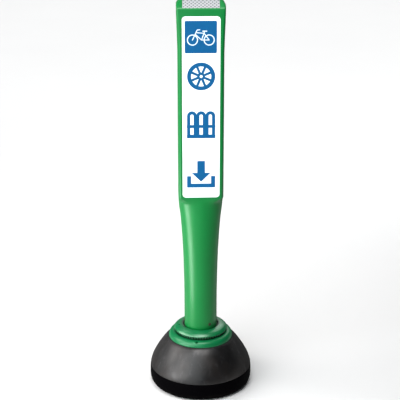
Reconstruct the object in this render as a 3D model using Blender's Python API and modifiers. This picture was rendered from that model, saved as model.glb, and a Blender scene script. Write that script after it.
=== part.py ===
"""Free-standing delineator post with a sign face, a threaded foot collar and a ballasted dome base.

Units are metres, +Z is up, the sign faces -Y and the post's axis is the world Z axis.
The post is drawn down on its base by a coarse two-start threaded collar.
"""
import math

import bmesh
import bpy
from mathutils import Matrix, Vector

MM = 0.001

# Clearance between pieces that touch
GAP = 0.3

# Post, in millimetres
POST_TOP = 957.0
POLE_R = 40.0
WALL = 3.0
SIGN_HALF_DEPTH = 36.0
ROOF_FOOT_Z = 939.4
ROOF_HALF_DEPTH = 15.8
RING_POINTS = 40

# Height, half width, blend from round to sign section, bevel width, bevel depth
POST_STATIONS = [
    (150.7, 40.0, 0.00, 6.5, 9.0),
    (235.0, 40.0, 0.00, 6.5, 9.0),
    (280.0, 40.7, 0.00, 6.5, 9.0),
    (328.0, 41.8, 0.00, 6.5, 9.0),
    (365.0, 43.3, 0.00, 6.5, 9.0),
    (395.0, 45.0, 0.00, 6.5, 9.0),
    (422.0, 46.9, 0.00, 6.5, 9.0),
    (445.0, 49.0, 0.00, 6.5, 9.0),
    (462.0, 51.3, 0.00, 6.5, 9.0),
    (476.0, 52.6, 0.05, 6.5, 9.0),
    (484.0, 53.1, 0.30, 6.5, 9.0),
    (490.0, 53.3, 0.70, 6.5, 9.0),
    (495.0, 53.3, 1.00, 6.5, 9.0),
    (830.0, 53.1, 1.00, 6.5, 9.0),
    (885.0, 54.4, 1.00, 6.0, 8.0),
    (920.0, 55.5, 1.00, 5.0, 6.5),
    (939.4, 55.7, 1.00, 4.0, 5.0),
]
ROOF_STATIONS = [
    (945.0, 55.5, 4.0),
    (949.0, 53.8, 4.0),
    (952.0, 51.4, 3.8),
    (954.6, 48.6, 3.4),
    (956.2, 46.2, 3.0),
    (POST_TOP, 42.8, 2.6),
]

# Sign sheet and reflector strip
SIGN_WIDTH = 87.0
SIGN_LOW_Z = 496.0
SIGN_HIGH_Z = 922.0
SIGN_CORNER_R = 8.5
SHEET_T = 0.8
SHEET_RECESS = 1.2
STRIP_WIDTH = 84.0
STRIP_LENGTH = 24.0
STRIP_CORNER_R = 2.0

# Coupling between the post and its base
COLLAR_BORE_R = 43.6
FLANGE_R = 49.5
FLANGE_LOW_Z = 148.0
FLANGE_HIGH_Z = 150.4
SPIGOT_R = 36.7
SPIGOT_TOP_Z = 186.0
BARREL_R = 44.5
BARREL_LOW_Z = 75.0
SOCKET_R = 45.0
SOCKET_FLOOR_Z = 60.0
NECK_R = 51.6
NECK_TOP_Z = 145.4
KEY_COUNT = 3
KEY_WIDTH = 8.0
KEY_R = 47.3
SLOT_WIDTH = 9.0
SLOT_R = 47.8

# Two-start thread: lead per turn, ridge height and where each ridge begins
THREAD_STARTS = 2
THREAD_LEAD = 12.0
THREAD_TURNS = 1.08
THREAD_Z = 130.5
RIDGE_BASE_HALF = 1.5
RIDGE_CREST_HALF = 0.7
NECK_CREST_R = 53.8
COLLAR_WALL_R = 54.8
COLLAR_CREST_R = 52.8
THREAD_STEPS = 48
RIB_COUNT = 60
RIB_WIDTH = 2.6
RIB_INNER_R = 58.6
RIB_OUTER_R = 64.2
RIB_LOW_Z = 138.2
RIB_HIGH_Z = 143.6

# Bodies that move: height of the empty on the common axis, and the nodes that go with it
BODIES = {
    "post_body": (FLANGE_LOW_Z, [
        "post_shell", "foot_plug", "foot_gasket", "post_screw_1", "post_screw_2", "post_screw_3",
        "front_sign", "rear_sign", "front_reflector", "rear_reflector",
    ]),
    "collar_body": (139.9, ["lock_collar"]),
}

# Base
PLATE_LOW_Z = 122.4
SHELL_TOP_Z = 122.1
SHELL_LIP_Z = 46.2
TRAY_RIM_Z = 45.0
TRAY_LOW_Z = 3.0
FOOT_CIRCLE_R = 88.0
FOOT_R = 14.0
BASE_STEPS = 52

# Fasteners
RING_SCREW_CIRCLE_R = 72.5
RING_SCREW_ANGLES = (-99.5, 20.5, 140.5)
POST_SCREW_Z = 165.0
POST_SCREW_ANGLES = (-58.5, 61.5, 181.5)
BOLT_R = 6.0
HEX_R = 10.9

COLOURS = {
    "green": (0.02, 0.36, 0.12, 1.0),
    "black": (0.012, 0.012, 0.013, 1.0),
    "white": (0.85, 0.87, 0.88, 1.0),
    "silver": (0.55, 0.57, 0.60, 1.0),
    "rubber": (0.02, 0.02, 0.02, 1.0),
    "steel": (0.45, 0.46, 0.48, 1.0),
    "stone": (0.35, 0.34, 0.32, 1.0),
}


def clear_scene():
    for obj in list(bpy.data.objects):
        bpy.data.objects.remove(obj, do_unlink=True)
    for block in (bpy.data.meshes, bpy.data.materials, bpy.data.curves):
        for item in list(block):
            block.remove(item)
    for group in list(bpy.data.collections):
        bpy.data.collections.remove(group)


def make_collections():
    parts = bpy.data.collections.new("delineator_post")
    cutters = bpy.data.collections.new("cutters")
    bpy.context.scene.collection.children.link(parts)
    bpy.context.scene.collection.children.link(cutters)
    return parts, cutters


def material(name, colour, roughness, metallic=0.0):
    mat = bpy.data.materials.new(name)
    mat.use_nodes = True
    shader = mat.node_tree.nodes["Principled BSDF"]
    shader.inputs["Base Color"].default_value = COLOURS[colour]
    shader.inputs["Roughness"].default_value = roughness
    shader.inputs["Metallic"].default_value = metallic
    return mat


def new_object(name, mesh, group):
    obj = bpy.data.objects.new(name, mesh)
    group.objects.link(obj)
    return obj


def give(obj, mat):
    obj.data.materials.clear()
    obj.data.materials.append(mat)
    return obj


def bm_to_object(name, bm, group):
    bmesh.ops.recalc_face_normals(bm, faces=bm.faces)
    mesh = bpy.data.meshes.new(name)
    bm.to_mesh(mesh)
    bm.free()
    return new_object(name, mesh, group)


def turned(name, profile, steps, group):
    """A closed outline in the XZ half plane, turned about Z; points are (radius, height) in mm."""
    mesh = bpy.data.meshes.new(name)
    verts = [(r * MM, 0.0, z * MM) for r, z in profile]
    edges = [(i, (i + 1) % len(profile)) for i in range(len(profile))]
    mesh.from_pydata(verts, edges, [])
    obj = new_object(name, mesh, group)
    screw = obj.modifiers.new("turn", "SCREW")
    screw.axis = "Z"
    screw.angle = 2 * math.pi
    screw.steps = steps
    screw.render_steps = steps
    screw.use_merge_vertices = True
    screw.merge_threshold = 0.00001
    screw.use_normal_calculate = True
    return obj


def boolean(obj, tool, operation):
    """Adds an exact Boolean and keeps its tool out of the render."""
    mod = obj.modifiers.new(operation.lower(), "BOOLEAN")
    mod.operation = operation
    mod.solver = "EXACT"
    mod.object = tool
    tool.hide_render = True
    tool.display_type = "WIRE"
    return obj


def bake(obj):
    """Turns the modifier stack into a plain mesh with its faces pointing outwards."""
    graph = bpy.context.evaluated_depsgraph_get()
    graph.update()
    mesh = bpy.data.meshes.new_from_object(obj.evaluated_get(graph))
    bm = bmesh.new()
    bm.from_mesh(mesh)
    bmesh.ops.recalc_face_normals(bm, faces=bm.faces)
    bm.to_mesh(mesh)
    bm.free()
    obj.modifiers.clear()
    obj.data = mesh
    return obj


def disc(bm, radius, low, high, steps, centre=(0.0, 0.0)):
    """Adds an upright cylinder to bm; sizes in mm."""
    depth = (high - low) * MM
    place = Matrix.Translation((centre[0] * MM, centre[1] * MM, (low + high) / 2 * MM))
    bmesh.ops.create_cone(
        bm, cap_ends=True, segments=steps, radius1=radius * MM, radius2=radius * MM,
        depth=depth, matrix=place)


def box(bm, size, centre, turn=Matrix.Identity(4)):
    """Adds a box of the given size to bm, placed at centre and then turned; sizes in mm."""
    shape = Matrix.Diagonal((size[0] * MM, size[1] * MM, size[2] * MM, 1.0))
    place = Matrix.Translation(Vector(centre) * MM)
    bmesh.ops.create_cube(bm, size=1.0, matrix=turn @ place @ shape)


def about_z(degrees):
    return Matrix.Rotation(math.radians(degrees), 4, "Z")


def polar(radius, degrees):
    angle = math.radians(degrees)
    return radius * math.cos(angle), radius * math.sin(angle)


# Post shell ------------------------------------------------------------------

def round_ring(radius):
    step = 2 * math.pi / RING_POINTS
    return [(radius * math.cos(i * step), radius * math.sin(i * step)) for i in range(RING_POINTS)]


def sign_ring(half_width, half_depth, bevel_x, bevel_y):
    """Flat-faced section with rounded bevels, matching round_ring point for point."""
    side = half_depth - bevel_y
    flat = half_width - bevel_x
    quarter = [(half_width, 0.0), (half_width, side * 0.5)]
    for i in range(6):
        a = math.pi / 2 * i / 5
        quarter.append((flat + bevel_x * math.cos(a), side + bevel_y * math.sin(a)))
    quarter += [(flat * 0.66, half_depth), (flat * 0.33, half_depth)]
    second = [(0.0, half_depth)] + [(-x, y) for x, y in reversed(quarter[1:])]
    half = quarter + second
    return half + [(-x, -y) for x, y in half]


def round_depth(z):
    """Half depth of the oval section, which flattens a little on its way up to the sign."""
    share = min(max((z - 235.0) / (490.0 - 235.0), 0.0), 1.0)
    return POLE_R + (SIGN_HALF_DEPTH - POLE_R) * share


def station_ring(z, half_width, blend, bevel_x, bevel_y, offset):
    half_depth = SIGN_HALF_DEPTH
    squash = (round_depth(z) - offset) / (POLE_R - offset)
    circle = [(x, y * squash) for x, y in round_ring(POLE_R - offset)]
    sign = sign_ring(half_width - offset, half_depth - offset, bevel_x, bevel_y)
    if blend <= 0.0:
        return circle
    if blend >= 1.0:
        return sign
    mixed = []
    for (cx, cy), (sx, sy) in zip(circle, sign):
        mixed.append((cx + (sx - cx) * blend, cy + (sy - cy) * blend))
    widest = max(x for x, y in mixed)
    scale = (half_width - offset) / widest
    return [(x * scale, y) for x, y in mixed]


def sign_full_width(half_width, blend):
    """Half width of the full sign section that a partly blended ring leads to."""
    return 53.3 if blend < 1.0 else half_width


def outer_rings():
    rings = []
    for z, half_width, blend, bevel_x, bevel_y in POST_STATIONS:
        full = sign_full_width(half_width, blend)
        ring = station_ring(z, full, blend, bevel_x, bevel_y, 0.0)
        widest = max(x for x, y in ring)
        rings.append([(x * half_width / widest, y, z) for x, y in ring])
    for z, half_width, bevel in ROOF_STATIONS:
        share = (z - ROOF_FOOT_Z) / (POST_TOP - ROOF_FOOT_Z)
        depth = SIGN_HALF_DEPTH + (ROOF_HALF_DEPTH - SIGN_HALF_DEPTH) * share
        ring = sign_ring(half_width, depth, bevel, bevel)
        rings.append([(x, y, z) for x, y in ring])
    return rings


def inner_rings():
    """Inside of the wall: every second station, and a roof of its own under the sloping one."""
    rings = []
    chosen = [s for i, s in enumerate(POST_STATIONS[:-1]) if i in (0, 1, 3, 5, 7, 8, 9, 10, 12, 13, 15)]
    for z, half_width, blend, bevel_x, bevel_y in chosen:
        full = sign_full_width(half_width, blend)
        ring = station_ring(z, full, blend, bevel_x, bevel_y, WALL)
        widest = max(x for x, y in ring)
        rings.append([(x * (half_width - WALL) / widest, y, z) for x, y in ring])
    slope = (SIGN_HALF_DEPTH - ROOF_HALF_DEPTH) / (POST_TOP - ROOF_FOOT_Z)
    foot = ROOF_FOOT_Z - 1.4
    high = POST_TOP - WALL
    low_depth = SIGN_HALF_DEPTH - WALL
    high_depth = low_depth - (high - foot) * slope
    rings.append([(x, y, foot) for x, y in sign_ring(53.5, low_depth, 4.0, 5.0)])
    rings.append([(x, y, high) for x, y in sign_ring(45.0, high_depth, 4.0, 4.0)])
    return rings


def skin(bm, rings):
    """Lofts between successive rings of equal length and returns their vertices."""
    rows = [[bm.verts.new(Vector(p) * MM) for p in ring] for ring in rings]
    for low, high in zip(rows, rows[1:]):
        for i in range(len(low)):
            j = (i + 1) % len(low)
            bm.faces.new((low[i], low[j], high[j], high[i]))
    return rows


def rounded_plate(name, width, height, radius, thickness, group):
    """Plate in the XZ plane, centred, its front at y = -thickness / 2; rounded corners."""
    bm = bmesh.new()
    outline = []
    for cx, cz, start in ((1, 1, 0), (-1, 1, 90), (-1, -1, 180), (1, -1, 270)):
        for i in range(5):
            a = math.radians(start + 22.5 * i)
            x = cx * (width / 2 - radius) + radius * math.cos(a)
            z = cz * (height / 2 - radius) + radius * math.sin(a)
            outline.append(bm.verts.new((x * MM, thickness / 2 * MM, z * MM)))
    face = bm.faces.new(outline)
    moved = bmesh.ops.extrude_face_region(bm, geom=[face])["geom"]
    verts = [v for v in moved if isinstance(v, bmesh.types.BMVert)]
    bmesh.ops.translate(bm, verts=verts, vec=(0.0, -thickness * MM, 0.0))
    return bm_to_object(name, bm, group)


def roof_frame(side):
    """Placement of a plate lying in the sloping roof; side is -1 at the front and 1 at the back."""
    rise = POST_TOP - ROOF_FOOT_Z
    run = SIGN_HALF_DEPTH - ROOF_HALF_DEPTH
    lean = math.atan2(run, rise)
    mid_y = (SIGN_HALF_DEPTH + ROOF_HALF_DEPTH) / 2
    mid_z = (POST_TOP + ROOF_FOOT_Z) / 2
    spot = Vector((0.0, -mid_y, mid_z)) * MM
    front = Matrix.Translation(spot) @ Matrix.Rotation(-lean, 4, "X")
    return front if side < 0 else about_z(180) @ front


def sign_frame(side):
    spot = Vector((0.0, -SIGN_HALF_DEPTH, (SIGN_LOW_Z + SIGN_HIGH_Z) / 2)) * MM
    front = Matrix.Translation(spot)
    return front if side < 0 else about_z(180) @ front


def build_post_shell(parts, cutters, mat):
    bm = bmesh.new()
    outer = skin(bm, outer_rings())
    inner = skin(bm, inner_rings())
    bm.faces.new(outer[-1])
    bm.faces.new(inner[-1])
    for i in range(RING_POINTS):
        j = (i + 1) % RING_POINTS
        bm.faces.new((outer[0][i], inner[0][i], inner[0][j], outer[0][j]))
    shell = bm_to_object("post_shell", bm, parts)
    for side in (-1, 1):
        cut = rounded_plate(
            "sign_recess", SIGN_WIDTH + 2 * GAP, SIGN_HIGH_Z - SIGN_LOW_Z + 2 * GAP,
            SIGN_CORNER_R, 2 * SHEET_RECESS, cutters)
        cut.matrix_world = sign_frame(side)
        boolean(shell, cut, "DIFFERENCE")
        cut = rounded_plate(
            "strip_recess", STRIP_WIDTH + 2 * GAP, STRIP_LENGTH + 2 * GAP,
            STRIP_CORNER_R, 2 * SHEET_RECESS, cutters)
        cut.matrix_world = roof_frame(side)
        boolean(shell, cut, "DIFFERENCE")
    boolean(shell, radial_holes("post_screw_holes", 2.2, 12, cutters), "DIFFERENCE")
    return give(bake(shell), mat)


def build_sheet(name, kind, side, parts, mat):
    """A sign sheet or reflector strip, sunk in its recess."""
    if kind == "sign":
        size = (SIGN_WIDTH, SIGN_HIGH_Z - SIGN_LOW_Z, SIGN_CORNER_R - GAP)
        frame = sign_frame(side)
    else:
        size = (STRIP_WIDTH, STRIP_LENGTH, STRIP_CORNER_R)
        frame = roof_frame(side)
    plate = rounded_plate(name, size[0], size[1], size[2], SHEET_T, parts)
    depth = SHEET_RECESS - GAP - SHEET_T / 2
    plate.data.transform(frame @ Matrix.Translation((0.0, depth * MM, 0.0)))
    return give(plate, mat)


# Coupling --------------------------------------------------------------------

def radial_holes(name, radius, steps, cutters):
    """Horizontal cylinders through the pole wall where the post screws go."""
    bm = bmesh.new()
    for angle in POST_SCREW_ANGLES:
        place = about_z(angle) @ Matrix.Translation(Vector((36.0, 0.0, POST_SCREW_Z)) * MM)
        lie = Matrix.Rotation(math.pi / 2, 4, "Y")
        bmesh.ops.create_cone(
            bm, cap_ends=True, segments=steps, radius1=radius * MM, radius2=radius * MM,
            depth=24 * MM, matrix=place @ lie)
    return bm_to_object(name, bm, cutters)


def key_boxes(name, width, inner, outer, low, high, group):
    bm = bmesh.new()
    for i in range(KEY_COUNT):
        size = (outer - inner, width, high - low)
        centre = ((inner + outer) / 2, 0.0, (low + high) / 2)
        box(bm, size, centre, about_z(30 + 360 / KEY_COUNT * i))
    return bm_to_object(name, bm, group)


def build_foot_plug(parts, cutters, mat):
    profile = [
        (SPIGOT_R - 1.0, SPIGOT_TOP_Z), (SPIGOT_R, SPIGOT_TOP_Z - 2.0), (SPIGOT_R, FLANGE_HIGH_Z),
        (FLANGE_R, FLANGE_HIGH_Z), (FLANGE_R, FLANGE_LOW_Z), (BARREL_R, FLANGE_LOW_Z),
        (BARREL_R, BARREL_LOW_Z + 2.0), (BARREL_R - 1.5, BARREL_LOW_Z), (41.0, BARREL_LOW_Z),
        (41.0, 142.0), (33.5, 147.0), (33.5, SPIGOT_TOP_Z),
    ]
    plug = turned("foot_plug", profile, 48, parts)
    keys = key_boxes("plug_keys", KEY_WIDTH, 42.5, KEY_R, 78.0, 140.0, cutters)
    boolean(plug, keys, "UNION")
    boolean(plug, radial_holes("plug_screw_holes", 1.9, 10, cutters), "DIFFERENCE")
    return give(bake(plug), mat)


def helix_ridge(bm, root_r, crest_r, start_z, start_angle):
    """A trapezoid ridge swept along the thread; root_r lies inside the wall that carries it."""
    corners = [
        (root_r, -RIDGE_BASE_HALF), (crest_r, -RIDGE_CREST_HALF),
        (crest_r, RIDGE_CREST_HALF), (root_r, RIDGE_BASE_HALF),
    ]
    count = round(THREAD_STEPS * THREAD_TURNS)
    half_step = 180 / THREAD_STEPS
    rings = []
    for i in range(count + 1):
        turn = i / THREAD_STEPS
        angle = start_angle + half_step + 360 * turn
        rise = start_z + THREAD_LEAD * turn
        ring = []
        for radius, dz in corners:
            x, y = polar(radius, angle)
            ring.append((x, y, rise + dz))
        rings.append(ring)
    rows = skin(bm, rings)
    bm.faces.new(rows[0])
    bm.faces.new(rows[-1])


def thread(name, root_r, crest_r, lift, cutters):
    bm = bmesh.new()
    for start in range(THREAD_STARTS):
        angle = 360 / THREAD_STARTS * start
        helix_ridge(bm, root_r, crest_r, THREAD_Z + lift, angle)
    return bm_to_object(name, bm, cutters)


def grip_ribs(cutters):
    """Short radial ribs that hang in the slot under the collar's bead."""
    bm = bmesh.new()
    size = (RIB_OUTER_R - RIB_INNER_R, RIB_WIDTH, RIB_HIGH_Z - RIB_LOW_Z)
    centre = ((RIB_OUTER_R + RIB_INNER_R) / 2, 0.0, (RIB_LOW_Z + RIB_HIGH_Z) / 2)
    for i in range(RIB_COUNT):
        box(bm, size, centre, about_z(360 / RIB_COUNT * (i + 0.5)))
    return bm_to_object("grip_ribs", bm, cutters)


def build_collar(parts, cutters, mat):
    profile = [
        (45.2, 154.0), (50.0, 153.6), (55.0, 152.6), (59.4, 150.8), (62.8, 148.4),
        (65.2, 145.9), (66.3, 144.4), (65.4, 143.3), (59.5, 143.0), (59.5, 128.8), (58.9, 128.2),
        (COLLAR_WALL_R, 128.2), (COLLAR_WALL_R, FLANGE_HIGH_Z + GAP),
        (COLLAR_BORE_R, FLANGE_HIGH_Z + GAP), (COLLAR_BORE_R, 153.2),
    ]
    collar = turned("lock_collar", profile, RIB_COUNT, parts)
    pitch = THREAD_LEAD / THREAD_STARTS
    ridges = thread("collar_thread", COLLAR_WALL_R + 0.8, COLLAR_CREST_R, pitch / 2, cutters)
    boolean(collar, ridges, "UNION")
    boolean(collar, grip_ribs(cutters), "UNION")
    return give(bake(collar), mat)


def build_gasket(parts, mat):
    low = NECK_TOP_Z + GAP
    high = FLANGE_LOW_Z - GAP
    profile = [(50.2, high), (50.2, low), (45.8, low), (45.8, high)]
    return give(bake(turned("foot_gasket", profile, 40, parts)), mat)


def build_base_ring(parts, cutters, mat):
    """Lower ring, threaded neck and keyed socket in one moulding."""
    profile = [
        (66.0, 136.4), (69.8, 136.2), (73.4, 134.9), (76.3, 132.3), (78.2, 128.8), (79.3, 125.0),
        (79.4, PLATE_LOW_Z), (76.7, PLATE_LOW_Z), (75.6, 127.2), (71.8, 129.0),
        (66.0, 129.2), (66.0, PLATE_LOW_Z), (51.0, PLATE_LOW_Z), (51.0, 55.0), (6.5, 55.0),
        (6.5, SOCKET_FLOOR_Z), (SOCKET_R, SOCKET_FLOOR_Z), (SOCKET_R, NECK_TOP_Z),
        (NECK_R, NECK_TOP_Z), (NECK_R, 126.5), (62.6, 126.5), (62.6, 134.9), (63.5, 136.1),
    ]
    ring = turned("base_ring", profile, THREAD_STEPS, parts)
    ridges = thread("neck_thread", NECK_R - 0.8, NECK_CREST_R, 0.0, cutters)
    boolean(ring, ridges, "UNION")
    slots = key_boxes("key_slots", SLOT_WIDTH, 43.0, SLOT_R, 72.0, 150.0, cutters)
    boolean(ring, slots, "DIFFERENCE")
    boolean(ring, ring_screw_discs("ring_bosses", 4.8, PLATE_LOW_Z + 0.2, 129.4, 16, cutters), "UNION")
    boolean(ring, ring_screw_discs("ring_sinks", 3.5, 128.2, 150.0, 16, cutters), "DIFFERENCE")
    boolean(ring, ring_screw_discs("ring_drills", 1.9, 110.0, 131.0, 12, cutters), "DIFFERENCE")
    return give(bake(ring), mat)


def ring_screw_discs(name, radius, low, high, steps, cutters):
    """One upright cylinder at each of the lower ring's screw positions."""
    bm = bmesh.new()
    for angle in RING_SCREW_ANGLES:
        disc(bm, radius, low, high, steps, polar(RING_SCREW_CIRCLE_R, angle))
    return bm_to_object(name, bm, cutters)


# Base ------------------------------------------------------------------------

def build_base_shell(parts, cutters, mat):
    profile = [
        (54.0, SHELL_TOP_Z), (80.6, SHELL_TOP_Z), (84.8, 119.2), (90.2, 113.6), (95.6, 106.8),
        (103.9, 94.8), (109.5, 86.3), (114.2, 78.0), (118.2, 70.5), (121.4, 63.5), (124.0, 55.6),
        (125.6, 49.6), (126.2, SHELL_LIP_Z), (122.2, SHELL_LIP_Z), (121.6, 51.0), (118.0, 62.0),
        (106.0, 84.0), (92.0, 105.0), (80.8, 118.2), (54.0, 118.2),
    ]
    shell = turned("base_shell", profile, BASE_STEPS, parts)
    boolean(shell, ring_screw_discs("shell_holes", 1.9, 100.0, 130.0, 12, cutters), "DIFFERENCE")
    return give(bake(shell), mat)


def build_tray(parts, mat):
    profile = [
        (121.2, 50.0), (121.4, TRAY_RIM_Z), (126.3, TRAY_RIM_Z), (126.8, 38.0), (126.9, 24.0),
        (126.0, 14.6), (123.9, 8.8), (121.0, 5.0), (118.2, 3.5), (114.8, TRAY_LOW_Z),
        (17.0, TRAY_LOW_Z), (17.0, 50.0), (6.5, 50.0), (6.5, 54.7), (21.0, 54.7), (21.0, 7.0),
        (108.0, 7.0), (116.6, 11.0), (122.2, 24.0), (122.2, 37.0), (118.2, 43.6), (118.2, 50.0),
    ]
    return give(bake(turned("base_tray", profile, BASE_STEPS, parts)), mat)


def build_ballast(parts, mat):
    profile = [
        (53.0, 86.0), (95.0, 86.0), (103.0, 78.0), (112.0, 60.0), (115.8, 44.0), (117.6, 24.0),
        (112.0, 11.0), (106.0, 7.4), (24.0, 7.4), (24.0, 52.0), (53.0, 52.0),
    ]
    return give(bake(turned("ballast", profile, 32, parts)), mat)


def build_feet(parts, mat):
    for i in range(4):
        bm = bmesh.new()
        spot = polar(FOOT_CIRCLE_R, 45 + 90 * i)
        disc(bm, FOOT_R, 0.0, TRAY_LOW_Z - GAP, 24, spot)
        give(bm_to_object("foot_%d" % (i + 1), bm, parts), mat)


# Fasteners -------------------------------------------------------------------

def screw_body(bm, head_r, head_h, shank_r, shank_l, place):
    """Pan-head screw built as one turned outline; the head's underside is at the origin."""
    outline = [(0.0, head_h), (head_r * 0.7, head_h * 0.85), (head_r, head_h * 0.4), (head_r, 0.0),
               (shank_r, 0.0), (shank_r, -shank_l + shank_r), (0.0, -shank_l)]
    steps = 12
    rings = []
    for r, z in outline[1:-1]:
        rings.append([(*polar(r, 360 / steps * i), z) for i in range(steps)])
    rows = skin(bm, rings)
    for row, z in ((rows[0], outline[0][1]), (rows[-1], outline[-1][1])):
        tip = bm.verts.new((0.0, 0.0, z * MM))
        for i in range(steps):
            bm.faces.new((row[i], row[(i + 1) % steps], tip))
    bmesh.ops.transform(bm, matrix=place, verts=bm.verts)


def build_screws(parts, mat):
    for i, angle in enumerate(RING_SCREW_ANGLES):
        bm = bmesh.new()
        x, y = polar(RING_SCREW_CIRCLE_R, angle)
        screw_body(bm, 3.1, 2.0, 1.6, 20.0, Matrix.Translation(Vector((x, y, 128.5)) * MM))
        give(bm_to_object("ring_screw_%d" % (i + 1), bm, parts), mat)
    for i, angle in enumerate(POST_SCREW_ANGLES):
        bm = bmesh.new()
        spot = Matrix.Translation(Vector((POLE_R + GAP, 0.0, POST_SCREW_Z)) * MM)
        place = about_z(angle) @ spot @ Matrix.Rotation(math.pi / 2, 4, "Y")
        screw_body(bm, 3.8, 1.5, 1.6, 9.0, place)
        give(bm_to_object("post_screw_%d" % (i + 1), bm, parts), mat)


def build_tie_bolt(parts, cutters, mat):
    washer_low = SOCKET_FLOOR_Z + GAP
    head_low = washer_low + 2.2 + GAP
    bm = bmesh.new()
    disc(bm, HEX_R, head_low, head_low + 7.0, 6)
    head = bm_to_object("tie_bolt", bm, parts)
    shank = bmesh.new()
    disc(shank, BOLT_R, 33.0, head_low + 1.0, 24)
    boolean(head, bm_to_object("bolt_shank", shank, cutters), "UNION")
    give(bake(head), mat)
    for name, low in (("socket_washer", washer_low), ("nut_washer", 47.5)):
        profile = [(14.0, low + 2.2), (14.0, low), (6.5, low), (6.5, low + 2.2)]
        give(bake(turned(name, profile, 24, parts)), mat)
    nut = bmesh.new()
    disc(nut, HEX_R, 37.2, 47.2, 6)
    nut_obj = bm_to_object("tie_nut", nut, parts)
    hole = bmesh.new()
    disc(hole, BOLT_R + GAP, 30.0, 60.0, 24)
    boolean(nut_obj, bm_to_object("nut_hole", hole, cutters), "DIFFERENCE")
    give(bake(nut_obj), mat)


def parent_bodies(parts):
    """Hangs each moving body's nodes on an empty that stands on the axis of both joints."""
    for name, (height, nodes) in BODIES.items():
        empty = new_object(name, None, parts)
        empty.location = (0.0, 0.0, height * MM)
        for node in nodes:
            obj = parts.objects[node]
            obj.parent = empty
            obj.location.z -= height * MM


def build():
    clear_scene()
    parts, cutters = make_collections()
    green = material("green_plastic", "green", 0.35)
    build_post_shell(parts, cutters, green)
    build_foot_plug(parts, cutters, material("plug_plastic", "green", 0.5))
    build_collar(parts, cutters, material("collar_plastic", "green", 0.4))
    build_base_ring(parts, cutters, material("ring_plastic", "green", 0.4))
    build_gasket(parts, material("gasket_rubber", "rubber", 0.8))
    white = material("sign_sheet", "white", 0.5)
    silver = material("reflective_sheet", "silver", 0.3, 0.3)
    for word, side in (("front", -1), ("rear", 1)):
        build_sheet(word + "_sign", "sign", side, parts, white)
        build_sheet(word + "_reflector", "strip", side, parts, silver)
    build_base_shell(parts, cutters, material("shell_plastic", "black", 0.35))
    build_tray(parts, material("tray_plastic", "black", 0.6))
    build_ballast(parts, material("concrete", "stone", 0.9))
    build_feet(parts, material("foot_rubber", "rubber", 0.85))
    steel = material("zinc_steel", "steel", 0.35, 1.0)
    build_screws(parts, steel)
    build_tie_bolt(parts, cutters, steel)
    parent_bodies(parts)
    for tool in cutters.objects:
        tool.hide_render = True
        tool.display_type = "WIRE"


build()
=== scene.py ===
"""Looks of the free-standing delineator post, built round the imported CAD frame.

The front faces -Y. The object's sizes are in millimetres until they reach a mesh, and its places
come from the frame's own boxes. Floor, lights and camera are in metres.
"""
import math

import bmesh
import bpy
from mathutils import Matrix, Vector


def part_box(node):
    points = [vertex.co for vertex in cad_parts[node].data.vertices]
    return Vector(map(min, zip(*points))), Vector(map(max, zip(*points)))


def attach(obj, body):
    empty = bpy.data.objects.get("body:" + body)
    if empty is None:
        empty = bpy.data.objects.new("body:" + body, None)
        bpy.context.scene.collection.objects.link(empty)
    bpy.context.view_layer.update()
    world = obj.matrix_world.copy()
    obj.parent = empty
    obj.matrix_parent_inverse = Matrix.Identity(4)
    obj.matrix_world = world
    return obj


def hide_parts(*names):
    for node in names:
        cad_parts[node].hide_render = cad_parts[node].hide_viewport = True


MM = 0.001
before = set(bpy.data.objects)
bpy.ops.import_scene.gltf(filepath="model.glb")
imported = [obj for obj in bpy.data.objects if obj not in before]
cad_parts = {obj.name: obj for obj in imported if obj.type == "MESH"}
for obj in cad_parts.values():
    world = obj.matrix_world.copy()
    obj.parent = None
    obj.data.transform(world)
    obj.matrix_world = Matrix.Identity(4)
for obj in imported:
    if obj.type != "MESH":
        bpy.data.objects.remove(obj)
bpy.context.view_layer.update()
HALF_TURN = Matrix.Rotation(math.pi, 4, "Z")


def corners(node):
    """Lowest and highest corner of a CAD node, in millimetres."""
    low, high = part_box(node)
    return low / MM, high / MM


POST_LOW, POST_HIGH = corners("post_shell")
SIGN_LOW, SIGN_HIGH = corners("front_sign")
# Clearance round the sheets in their recesses and under the post screws' heads
GAP = 0.3


# Mesh helpers --------

# Degrees: edges that turn by more stay sharp, and corners flatter than the second aren't rounded
SHARP = 35.0
STRAIGHT = 172.0
# A rounding takes at most this share of a side
FILLET_SHARE = 0.48


def shade(mesh, sharp):
    """Smooth faces, with edges kept where they turn by more than the given angle."""
    mesh.shade_smooth()
    mesh.set_sharp_from_angle(angle=math.radians(sharp))


def object_from(name, bm, sharp=SHARP):
    """An object from bm, with all faces turned outward."""
    bmesh.ops.recalc_face_normals(bm, faces=bm.faces)
    mesh = bpy.data.meshes.new(name)
    bm.to_mesh(mesh)
    bm.free()
    shade(mesh, sharp)
    obj = bpy.data.objects.new(name, mesh)
    bpy.context.scene.collection.objects.link(obj)
    return obj


def combine(obj, tools, operation, sharp=SHARP):
    """Exact Booleans of obj with each tool, applied to its mesh; the tools are then removed."""
    for tool in tools:
        mod = obj.modifiers.new("combine", "BOOLEAN")
        mod.operation = operation
        mod.solver = "EXACT"
        mod.object = tool
    graph = bpy.context.evaluated_depsgraph_get()
    graph.update()
    mesh = bpy.data.meshes.new_from_object(obj.evaluated_get(graph))
    obj.modifiers.clear()
    obj.data = mesh
    shade(mesh, sharp)
    for tool in tools:
        bpy.data.objects.remove(tool, do_unlink=True)


def polar(radius, degrees):
    """Point at a radius and an angle from the first axis."""
    angle = math.radians(degrees)
    return radius * math.cos(angle), radius * math.sin(angle)


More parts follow.
